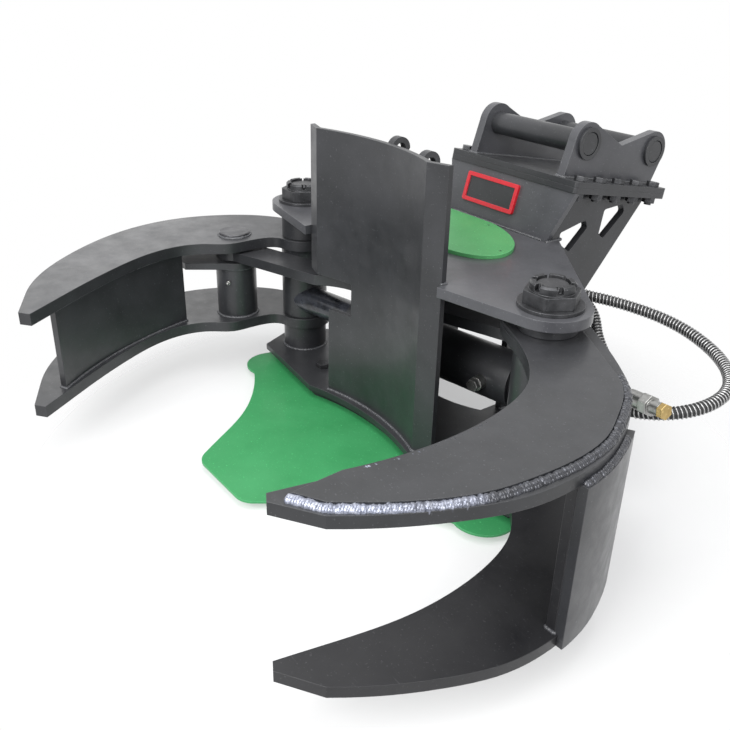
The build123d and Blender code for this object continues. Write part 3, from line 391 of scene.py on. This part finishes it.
def plain_mesh(obj, name):
    """The modifier's result as a mesh of its own; the source object goes."""
    bpy.context.view_layer.update()
    made = bpy.data.meshes.new_from_object(obj.evaluated_get(bpy.context.evaluated_depsgraph_get()))
    made.name = name
    old = obj.data
    bpy.data.objects.remove(obj)
    bpy.data.meshes.remove(old)
    new = bpy.data.objects.new(name, made)
    bpy.context.scene.collection.objects.link(new)
    return new


def lines_object(name, runs):
    """A mesh of bare edges, one chain for each run of points."""
    points, edges = [], []
    for run in runs:
        first = len(points)
        points += [tuple(v) for v in run]
        edges += [(k, k + 1) for k in range(first, len(points) - 1)]
    mesh = bpy.data.meshes.new(name)
    mesh.from_pydata(points, edges, [])
    obj = bpy.data.objects.new(name, mesh)
    bpy.context.scene.collection.objects.link(obj)
    return obj


BEAD = bead_tree()


def weld(name, body, runs, radius, finish, seed, spacing=0.62):
    obj = lines_object(name + "_lines", runs)
    mod = obj.modifiers.new("bead", "NODES")
    mod.node_group = BEAD
    mod[socket_of(BEAD, "Radius")] = radius
    mod[socket_of(BEAD, "Pitch")] = radius * spacing
    mod[socket_of(BEAD, "Seed")] = seed
    mod[socket_of(BEAD, "Finish")] = finish
    made = plain_mesh(obj, name)
    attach(made, body)
    print(name, "runs", len(runs), "faces", len(made.data.polygons))
    return made


# %% [markdown]
# The lines are read off the CAD pieces: the rim of a level face, or a circle round a boss.

# %% Where plates meet
MM = 0.001


def rim(node, z, keep=lambda p: True):
    """Chains of points round the level face of a piece at height z, where keep holds."""
    mesh = nodes[node].data
    spots = [v.co for v in mesh.vertices]
    level = {}
    for poly in mesh.polygons:
        flat = abs(poly.normal.z) > 0.99 and abs(spots[poly.vertices[0]].z - z) < 2e-4
        for a, b in poly.edge_keys:
            if abs(spots[a].z - z) < 2e-4 and abs(spots[b].z - z) < 2e-4:
                ka, kb = (tuple(round(c, 5) for c in spots[i]) for i in (a, b))
                key = (min(ka, kb), max(ka, kb))
                level.setdefault(key, []).append(flat)
    ends = {}
    for (ka, kb), kinds in level.items():
        if ka != kb and any(kinds) and not all(kinds):
            ends.setdefault(ka, []).append(kb)
            ends.setdefault(kb, []).append(ka)
    ends = {k: [q for q in v if keep(q)] for k, v in ends.items() if keep(k)}
    runs = []
    while ends:
        start = next((k for k in sorted(ends) if len(ends[k]) < 2), sorted(ends)[0])
        run, here = [start], start
        while True:
            nexts = [q for q in ends.get(here, []) if q in ends and q != here]
            for q in ends.pop(here, []):
                if q in ends and here in ends[q]:
                    ends[q].remove(here)
            step = next((q for q in nexts if q in ends), None)
            if step is None:
                if len(run) > 3 and run[0] in nexts:
                    run.append(run[0])
                break
            run.append(step)
            here = step
        if len(run) > 1:
            runs.append(run)
    return runs


def hoop(x, y, z, radius, count=48):
    turns = (2 * math.pi * k / count for k in range(count + 1))
    return [(x + radius * math.cos(a), y + radius * math.sin(a), z) for a in turns]


def middle(node):
    lo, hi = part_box(node)
    return (lo[0] + hi[0]) / 2, (lo[1] + hi[1]) / 2, (hi[0] - lo[0]) / 2


def foot(node):
    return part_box(node)[0][2]


def top(node):
    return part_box(node)[1][2]


# %% [markdown]
# The beads on the second layer of the right arm and on the band below it get a painted reflection,
# bright silver near the arm's tip and dark further back; all the other beads were painted over.

# %% Weld beads
PIVOT = middle("right_arm_hub")
band_lo, band_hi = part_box("right_arm_band")


def pushed(run, out, down, away_from):
    """The run moved sideways, away from a point, and down into its corner."""
    made = []
    for k, point in enumerate(run):
        before, after = run[max(k - 1, 0)], run[min(k + 1, len(run) - 1)]
        side = Vector((after[1] - before[1], before[0] - after[0])).normalized()
        if side.dot(Vector(point[:2]) - Vector(away_from)) < 0:
            side = -side
        made.append((point[0] + side.x * out, point[1] + side.y * out, point[2] - down))
    return made


FAT, SLIM = 0.0092, 0.0042
inside_arm = (0.52, -0.22)
doubler_edge = rim("right_arm_doubler", foot("right_arm_doubler"),
                   lambda p: p[0] > 0.5635 and p[1] < -0.04)
doubler_edge = [pushed(run, 0.005, 0.0014, inside_arm) for run in doubler_edge]
weld("weld_doubler", "right_arm", doubler_edge, FAT, bead_painted_reflection, 3, 0.40)
band_edge = rim("right_arm_top_plate", foot("right_arm_top_plate"),
                lambda p: p[0] > 0.62 and band_lo[1] + 0.004 < p[1] < band_hi[1] - 0.02)
band_edge = [pushed(run, 0.002, 0.001, inside_arm) for run in band_edge]
weld("weld_band", "right_arm", band_edge, FAT * 0.92, bead_painted_reflection, 5, 0.42)
right_black = rim("right_arm_web", foot("right_arm_web")) + rim("right_arm_web", top("right_arm_web"))
right_black += [hoop(*PIVOT[:2], z, PIVOT[2]) for z in (foot("right_arm_hub"), top("right_arm_hub"))]
weld("weld_right_arm", "right_arm", right_black, SLIM, bead_black, 7)

boss, cap = middle("left_link_boss"), middle("left_link_pin")
left_black = rim("left_arm_web", foot("left_arm_web")) + rim("left_arm_web", top("left_arm_web"))
left_black += [hoop(*boss[:2], z, boss[2]) for z in (foot("left_link_boss"), top("left_link_boss"))]
left_black += [hoop(*cap[:2], top("left_arm_top_plate"), cap[2])]
weld("weld_left_arm", "left_arm", left_black, SLIM, bead_black, 11)


def back_of_rest(p):
    """The rear face of the upright rest, which bows back towards its middle."""
    return p[1] > -0.075 - 0.030 * (p[0] / 0.176) ** 2


def footprint(node, normal):
    """Corners of a piece where it stands on a tilted plate, as a closed run."""
    spots = [v.co.copy() for v in nodes[node].data.vertices]
    low = min(v.dot(normal) for v in spots)
    stand = [v for v in spots if v.dot(normal) < low + 3e-4]
    along = sorted(stand, key=lambda v: v.y)
    xs = [v.x for v in stand]
    a, b = along[0], along[-1]
    ring = [(min(xs), a.y, a.z), (max(xs), a.y, a.z), (max(xs), b.y, b.z), (min(xs), b.y, b.z)]
    return ring + ring[:1]


TILT = math.radians(10.4)
rest_foot = rim("trunk_rest", foot("trunk_rest"))
frame_black = list(rest_foot)
frame_black += [[(x, y, top("top_plate")) for x, y, z in run]
                for run in rim("trunk_rest", foot("trunk_rest"), back_of_rest)]
for side in ("left", "right"):
    lower, upper = middle(side + "_lower_collar"), middle(side + "_upper_collar")
    frame_black.append(hoop(*lower[:2], foot(side + "_lower_collar"), lower[2]))
    frame_black.append(hoop(*upper[:2], top(side + "_upper_collar"), upper[2]))
    (x0, y0, z0), (x1, y1, z1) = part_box("side_plate_" + side)
    outer = x1 if side == "right" else x0
    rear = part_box("lower_plate")[1][1]
    for z, front in ((z0, y0), (top("top_plate"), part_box("front_panel")[0][1])):
        frame_black.append([(outer, front + (rear - front) * k / 20, z) for k in range(21)])
    frame_black.append(footprint("hitch_ear_" + side, Vector((0, math.sin(TILT), math.cos(TILT)))))
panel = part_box("front_panel")
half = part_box("side_plate_right")[0][0]
frame_black.append([(-half + 2 * half * k / 30, panel[0][1], panel[0][2]) for k in range(31)])
weld("weld_frame", "frame", frame_black, SLIM, bead_black, 13)

# %% [markdown]
# The two hoses follow the same route points as their CAD tubes. A spiral guard of round steel wire is
# wound round each by a second Geometry Nodes tree.

# %% Hoses
HOSE_D = 0.020
LONG_ROUTE = (
    (191.4, 215.0, 366.0), (272.0, 215.0, 366.0), (360.0, 275.0, 357.0),
    (470.0, 304.0, 345.0), (590.0, 268.0, 331.0), (662.0, 193.0, 321.0),
    (664.0, 100.0, 309.0), (604.0, 24.0, 296.0), (514.0, 22.0, 278.0),
)
SHORT_ROUTE = (
    (191.4, 272.0, 340.0), (248.0, 272.0, 340.0), (302.0, 262.0, 320.0),
    (344.0, 228.0, 284.0), (402.0, 208.0, 250.0), (452.0, 162.0, 238.0),
    (488.0, 98.0, 272.0), (522.0, 42.0, 312.0), (566.0, 10.0, 326.0), (612.0, 4.0, 332.0),
)


def hose(name, route_mm):
    data = bpy.data.curves.new(name, "CURVE")
    data.dimensions = "3D"
    data.bevel_depth = 1.0
    data.bevel_resolution = 6
    data.resolution_u = 12
    line = data.splines.new("NURBS")
    line.points.add(len(route_mm) - 1)
    for point, (x, y, z) in zip(line.points, route_mm):
        point.co = (x * MM, y * MM, z * MM, 1.0)
        point.radius = HOSE_D / 2
    line.order_u = 3
    line.use_endpoint_u = True
    data.materials.append(rubber)
    obj = bpy.data.objects.new(name, data)
    bpy.context.scene.collection.objects.link(obj)
    return obj


def centreline(obj):
    """Points along a curve object without its thickness, and their length."""
    depth = obj.data.bevel_depth
    obj.data.bevel_depth = 0.0
    bpy.context.view_layer.update()
    made = bpy.data.meshes.new_from_object(obj.evaluated_get(bpy.context.evaluated_depsgraph_get()))
    run = [v.co.copy() for v in made.vertices]
    bpy.data.meshes.remove(made)
    obj.data.bevel_depth = depth
    return run, sum((b - a).length for a, b in zip(run, run[1:]))


def guard_tree():
    nt = bpy.data.node_groups.new("spiral_guard", "GeometryNodeTree")
    face = nt.interface
    face.new_socket("Geometry", in_out="INPUT", socket_type="NodeSocketGeometry")
    for name, value in (("Coil Radius", 0.0105), ("Pitch", 0.0072), ("Step", 0.0006), ("Wire", 0.0014)):
        face.new_socket(name, in_out="INPUT", socket_type="NodeSocketFloat").default_value = value
    face.new_socket("Finish", in_out="INPUT", socket_type="NodeSocketMaterial")
    face.new_socket("Geometry", in_out="OUTPUT", socket_type="NodeSocketGeometry")
    link = nt.links.new

    def new(kind, **settings):
        node = nt.nodes.new(kind)
        for key, value in settings.items():
            setattr(node, key, value)
        return node

    def vector(operation, a, b):
        node = new("ShaderNodeVectorMath", operation=operation)
        link(a, node.inputs[0])
        link(b, node.inputs["Scale"] if operation == "SCALE" else node.inputs[1])
        return node.outputs[0]

    def number(operation, a, b=None):
        node = new("ShaderNodeMath", operation=operation)
        link(a, node.inputs[0])
        if isinstance(b, float):
            node.inputs[1].default_value = b
        elif b is not None:
            link(b, node.inputs[1])
        return node.outputs[0]

    start = new("NodeGroupInput").outputs
    curve = new("GeometryNodeMeshToCurve")
    again = new("GeometryNodeResampleCurve", mode="LENGTH")
    link(start["Geometry"], curve.inputs["Mesh"])
    link(curve.outputs["Curve"], again.inputs["Curve"])
    link(start["Step"], again.inputs["Length"])
    along = new("GeometryNodeSplineParameter").outputs["Length"]
    angle = number("MULTIPLY", number("DIVIDE", along, start["Pitch"]), 2 * math.pi)
    normal = new("GeometryNodeInputNormal").outputs["Normal"]
    tangent = new("GeometryNodeInputTangent").outputs["Tangent"]
    side = vector("CROSS_PRODUCT", tangent, normal)
    across = vector("SCALE", normal, number("MULTIPLY", number("COSINE", angle), start["Coil Radius"]))
    aside = vector("SCALE", side, number("MULTIPLY", number("SINE", angle), start["Coil Radius"]))
    move = new("GeometryNodeSetPosition")
    link(again.outputs["Curve"], move.inputs["Geometry"])
    link(vector("ADD", across, aside), move.inputs["Offset"])
    wire = new("GeometryNodeCurvePrimitiveCircle", mode="RADIUS")
    wire.inputs["Resolution"].default_value = 6
    link(start["Wire"], wire.inputs["Radius"])
    body = new("GeometryNodeCurveToMesh")
    link(move.outputs["Geometry"], body.inputs["Curve"])
    link(wire.outputs["Curve"], body.inputs["Profile Curve"])
    real = new("GeometryNodeRealizeInstances")
    link(body.outputs["Mesh"], real.inputs["Geometry"])
    smooth = new("GeometryNodeSetShadeSmooth")
    link(real.outputs["Geometry"], smooth.inputs["Geometry"])
    paint = new("GeometryNodeSetMaterial")
    link(smooth.outputs["Geometry"], paint.inputs["Geometry"])
    link(start["Finish"], paint.inputs["Material"])
    link(paint.outputs["Geometry"], new("NodeGroupOutput").inputs["Geometry"])
    return nt


GUARD = guard_tree()


def guard(name, run, wire):
    """Spiral wound round the part of the hose between its two end fittings."""
    obj = lines_object(name + "_line", [run])
    mod = obj.modifiers.new("guard", "NODES")
    mod.node_group = GUARD
    mod[socket_of(GUARD, "Coil Radius")] = HOSE_D / 2 + wire * 0.3
    mod[socket_of(GUARD, "Pitch")] = 0.0072
    mod[socket_of(GUARD, "Step")] = 0.0005
    mod[socket_of(GUARD, "Wire")] = wire
    mod[socket_of(GUARD, "Finish")] = spring_steel
    made = plain_mesh(obj, name)
    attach(made, "frame")
    return made


for name, route_mm, wire, coupling in (
        ("long", LONG_ROUTE, 0.0015, ("long_hose_coupling",)),
        ("short", SHORT_ROUTE, 0.0010, ("short_hose_coupling", "short_hose_plug"))):
    tube = hose("hose_" + name + "_curve", route_mm)
    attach(tube, "frame")
    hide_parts("hose_" + name)
    run, length = centreline(tube)
    coil = guard("hose_" + name + "_guard", run[3:-6], wire)
    print(name, "hose", round(length, 4), "m, guard faces", len(coil.data.polygons))

# %% [markdown]
# The lid on the top plate has a smooth rounded nose. This piece takes the place of the CAD lid,
# between the same two heights and round the same four screws.

# %% Lid
LID_SCREWS = ((0.156, 0.118), (0.014, 0.222), (-0.156, 0.118), (-0.116, 0.222))
LID_BACK = 0.240


def nose(angle):
    a = math.radians(angle)
    return (0.0093 + 0.1611 * math.cos(a) + 0.0272 * math.sin(a),
            0.1383 - 0.0462 * math.cos(a) + 0.0949 * math.sin(a))


def ring(mesh, points, z):
    made = [mesh.verts.new((x, y, z)) for x, y in points]
    return made, [mesh.edges.new((a, b)) for a, b in zip(made, made[1:] + made[:1])]


def wall(mesh, low, high):
    for k in range(len(low)):
        n = (k + 1) % len(low)
        mesh.faces.new((low[k], low[n], high[n], high[k]))


def circle(at, radius, count=24):
    return [(at[0] + radius * math.cos(2 * math.pi * k / count),
             at[1] + radius * math.sin(2 * math.pi * k / count)) for k in range(count)]


def inset(points, by):
    cx_, cy_ = (sum(v) / len(points) for v in zip(*points))
    return [(x + (cx_ - x) * by, y + (cy_ - y) * by) for x, y in points]


def lid(name):
    z0, z1 = (v[2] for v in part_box("cover_plate"))
    flank = [nose(100.6 - 164.6 * k / 60) for k in range(61)]
    mirrored = [(-x, y) for x, y in reversed(flank) if x > 0 and -x > -0.999 and y < 0.188]
    outline = flank + [(0.0, 0.0305)] + mirrored + [(-0.132, 0.190), (-0.132, LID_BACK)]
    mesh = bmesh.new()
    low, low_edges = ring(mesh, outline, z0)
    side, side_edges = ring(mesh, outline, z1 - 0.0006)
    high, high_edges = ring(mesh, inset(outline, 0.004), z1)
    wall(mesh, low, side)
    wall(mesh, side, high)
    for at in LID_SCREWS:
        bottom, bottom_edges = ring(mesh, circle(at, 0.0042), z0)
        neck, neck_edges = ring(mesh, circle(at, 0.0042), z1 - 0.0029)
        mouth, mouth_edges = ring(mesh, circle(at, 0.0072), z1)
        wall(mesh, bottom, neck)
        wall(mesh, neck, mouth)
        low_edges += bottom_edges
        high_edges += mouth_edges
    for edges in (low_edges, high_edges):
        bmesh.ops.triangle_fill(mesh, use_beauty=True, use_dissolve=False, edges=edges)
    bmesh.ops.recalc_face_normals(mesh, faces=mesh.faces)
    data = bpy.data.meshes.new(name)
    mesh.to_mesh(data)
    mesh.free()
    data.materials.append(light_green)
    obj = bpy.data.objects.new(name, data)
    bpy.context.scene.collection.objects.link(obj)
    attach(obj, "frame")
    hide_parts("cover_plate")
    return obj


print("lid faces", len(lid("cover_lid").data.polygons))

# %% [markdown]
# The rod ends in a thick painted neck that is welded to the sleeve on the left pivot.
# Its first ring follows the sleeve's round wall, and it stops short of the gland.

# %% Rod neck
NECK_R, NECK_BORE, NECK_END = 0.0335, 0.0203, 0.214
SLEEVE_R, ROD_ASIDE, ROD_Z = 0.056, 0.020, 0.189
worn = finish_paint("brushed_black", (0.052, 0.056, 0.070), (0.012, 0.013, 0.016), 0.20, 0.42, 0.6,
                    coat=0.5, mottle=38.0)


def neck(name):
    along = Vector((math.cos(TILT), math.sin(TILT), 0))
    aside = Vector((math.sin(TILT), -math.cos(TILT), 0))
    foot_at = Vector((-0.400, 0.0, ROD_Z)) + ROD_ASIDE * aside
    mesh = bmesh.new()

    def turned(radius, reach):
        made = []
        for k in range(48):
            a = 2 * math.pi * k / 48
            sideways = radius * math.cos(a)
            at = reach
            if at is None:
                at = math.sqrt(SLEEVE_R ** 2 - (ROD_ASIDE + sideways) ** 2) - 0.0008
            made.append(mesh.verts.new(foot_at + at * along + sideways * aside
                                       + Vector((0, 0, radius * math.sin(a)))))
        return made

    rings = [turned(NECK_R, None), turned(NECK_R, NECK_END - 0.003), turned(NECK_R - 0.003, NECK_END),
             turned(NECK_BORE, NECK_END), turned(NECK_BORE, None)]
    for a, b in zip(rings, rings[1:] + rings[:1]):
        wall(mesh, a, b)
    bmesh.ops.recalc_face_normals(mesh, faces=mesh.faces)
    data = bpy.data.meshes.new(name)
    mesh.to_mesh(data)
    mesh.free()
    data.materials.append(worn)
    for f in data.polygons:
        f.use_smooth = True
    data.set_sharp_from_angle(angle=math.radians(30))
    obj = bpy.data.objects.new(name, data)
    bpy.context.scene.collection.objects.link(obj)
    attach(obj, "clamp_rod")
    return obj


print("neck faces", len(neck("rod_neck").data.polygons))

# %% [markdown]
# Soft daylight: a white world, a large key from above and a floor that fades into it.

# %% Light and floor
world = bpy.data.worlds.new("world")
bpy.context.scene.world = world
world.use_nodes = True
wn = world.node_tree
bg = wn.nodes["Background"]
bg.inputs["Strength"].default_value = 1.0
path = wn.nodes.new("ShaderNodeLightPath")
bg.inputs["Color"].default_value = (1, 1, 1, 1)
dim = wn.nodes.new("ShaderNodeBackground")
dim.inputs["Color"].default_value = (0.93, 0.95, 1.0, 1)
dim.inputs["Strength"].default_value = 0.42
sky = wn.nodes.new("ShaderNodeMixShader")
seen = path.outputs["Is Camera Ray"]
for kind in ("Is Glossy Ray", "Is Transmission Ray"):
    either = wn.nodes.new("ShaderNodeMath")
    either.operation = "MAXIMUM"
    wn.links.new(seen, either.inputs[0])
    wn.links.new(path.outputs[kind], either.inputs[1])
    seen = either.outputs[0]
wn.links.new(seen, sky.inputs[0])
wn.links.new(dim.outputs["Background"], sky.inputs[1])
wn.links.new(bg.outputs["Background"], sky.inputs[2])
wn.links.new(sky.outputs[0], wn.nodes["World Output"].inputs["Surface"])


def area_light(name, at, to, width, power, colour=(1, 1, 1)):
    data = bpy.data.lights.new(name, "AREA")
    data.shape = "DISK"
    data.size = width
    data.energy = power
    data.color = colour
    obj = bpy.data.objects.new(name, data)
    obj.location = at
    obj.rotation_euler = (Vector(to) - Vector(at)).to_track_quat("-Z", "Y").to_euler()
    bpy.context.scene.collection.objects.link(obj)
    return obj


area_light("key", (0.7, -2.9, 2.4), (0, -0.1, 0.3), 2.4, 100.0)
area_light("top", (0.2, -0.4, 3.6), (0, 0, 0.2), 3.0, 58.0)
area_light("side", (3.2, -0.6, 1.7), (0.3, 0.2, 0.45), 1.6, 32.0)
area_light("far_left", (-3.6, 0.5, 1.5), (-0.3, 0, 0.3), 1.8, 7.0)

bpy.ops.mesh.primitive_plane_add(size=6, location=(0.1, -0.1, -0.0008))
floor = bpy.context.object
floor.name = "floor"
fmat, ft, fb = tree("floor")
fcoords = ft.nodes.new("ShaderNodeTexCoord").outputs["Object"]
ft.links.new(ramp(ft, noise(ft, fcoords, 3.0), ((0.3, grey(0.96)), (0.7, grey(0.99)))),
             fb.inputs["Base Color"])
fb.inputs["Roughness"].default_value = 0.95
reach = ft.nodes.new("ShaderNodeVectorMath")
reach.operation = "LENGTH"
ft.links.new(fcoords, reach.inputs[0])
fade = ramp(ft, reach.outputs["Value"], ((0.55, grey(0.45)), (0.95, grey(1.0))))
clear = ft.nodes.new("ShaderNodeBsdfTransparent")
blend = ft.nodes.new("ShaderNodeMixShader")
ft.links.new(fade, blend.inputs[0])
ft.links.new(fb.outputs[0], blend.inputs[1])
ft.links.new(clear.outputs[0], blend.inputs[2])
ft.links.new(blend.outputs[0], ft.nodes["Material Output"].inputs["Surface"])
floor.data.materials.append(fmat)
